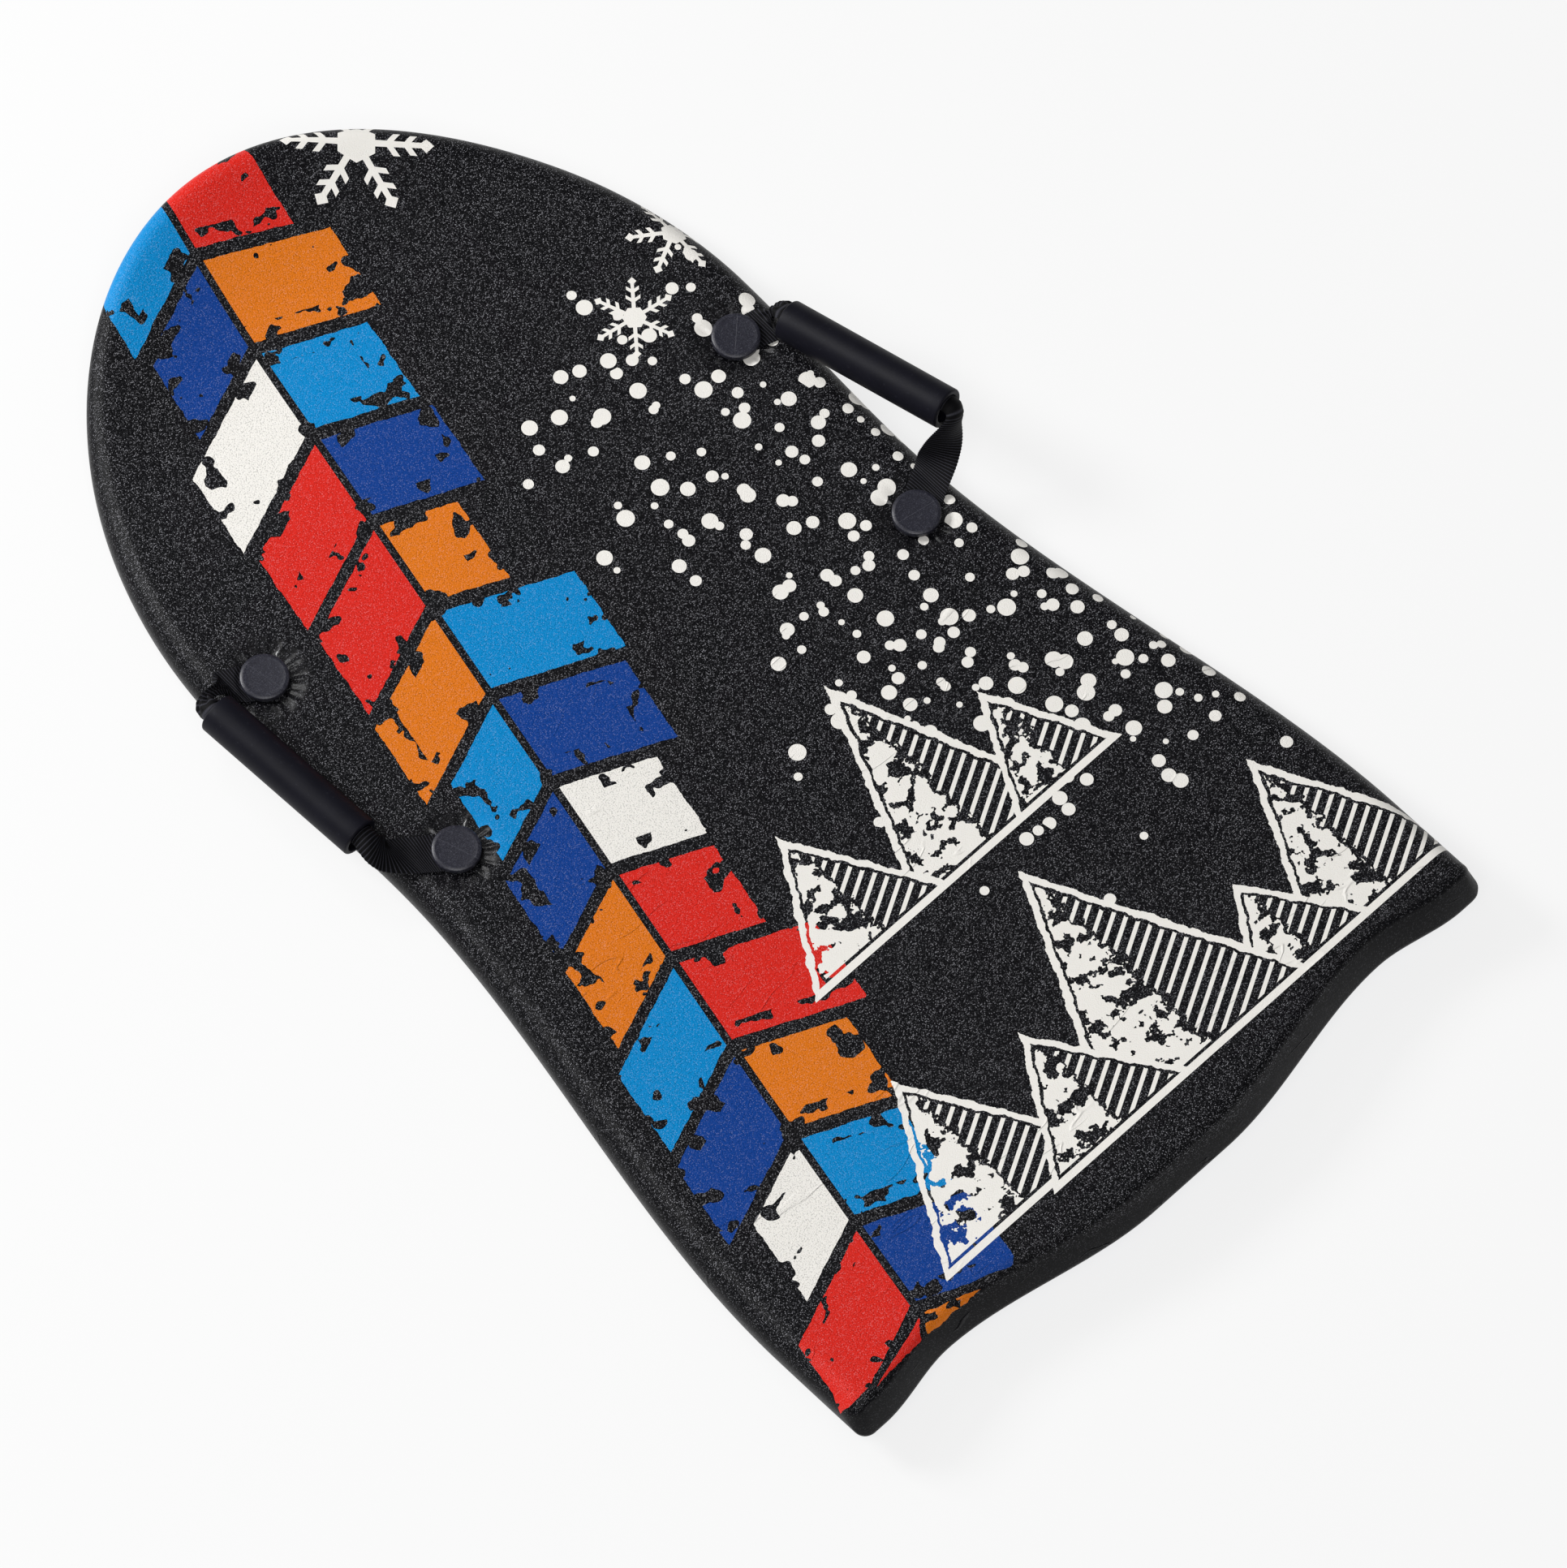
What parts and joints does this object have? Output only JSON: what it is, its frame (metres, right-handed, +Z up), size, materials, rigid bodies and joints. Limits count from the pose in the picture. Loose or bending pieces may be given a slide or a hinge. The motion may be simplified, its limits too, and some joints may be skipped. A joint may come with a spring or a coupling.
{
  "type": "foam snow slider board",
  "caption": "Foam slider board for snow with an upturned nose, rounded rails, a wavy tail, a slick bottom and padded webbing grab handles bolted near both rails.",
  "frame": {"origin": "middle of the board on the surface that it lies on", "axes": "+Y to the nose, +X to the right of someone who looks to the nose, +Z up out of the deck"},
  "size_m": [0.5292, 0.9041, 0.0785],
  "materials": {
    "deck_film": "pebbled printed film, satin",
    "foam": "closed-cell foam",
    "slick": "smooth sheet with fine scratches",
    "plug": "moulded, satin",
    "webbing": "ribbed woven webbing",
    "grip": "soft moulded tube, satin"
  },
  "bodies": {
    "board": {"deck_skin": "deck_film", "foam_core": "foam", "slick_sheet": "slick", "right_front_plug": "plug", "right_front_nut": "plug", "right_front_strap_end": "webbing", "right_rear_plug": "plug", "right_rear_nut": "plug", "right_rear_strap_end": "webbing", "left_front_plug": "plug", "left_front_nut": "plug", "left_front_strap_end": "webbing", "left_rear_plug": "plug", "left_rear_nut": "plug", "left_rear_strap_end": "webbing"},
    "right_handle": {"right_strap_loop": "webbing"},
    "right_grip_tube": {"right_grip": "grip"},
    "left_handle": {"left_strap_loop": "webbing"},
    "left_grip_tube": {"left_grip": "grip"}
  },
  "joints": [
    {"name": "right_handle_swing", "type": "hinge", "parent": "board", "child": "right_handle", "pos_m": [0.20496, 0.0622, 0.03095], "axis": [0, -1, 0], "range_deg": [0, 50]},
    {"name": "right_grip_spin", "type": "hinge", "parent": "right_handle", "child": "right_grip_tube", "pos_m": [0.22497, 0.06766, 0.0542], "axis": [0.1792, -0.9668, 0.1822], "continuous": true},
    {"name": "left_handle_swing", "type": "hinge", "parent": "board", "child": "left_handle", "pos_m": [-0.205, 0.0932, 0.03095], "axis": [0, 1, 0], "range_deg": [0, 70]},
    {"name": "left_grip_spin", "type": "hinge", "parent": "left_handle", "child": "left_grip_tube", "pos_m": [-0.222, 0.1156, 0.03977], "axis": [0.0436, -0.9984, 0.0366], "continuous": true}
  ]
}
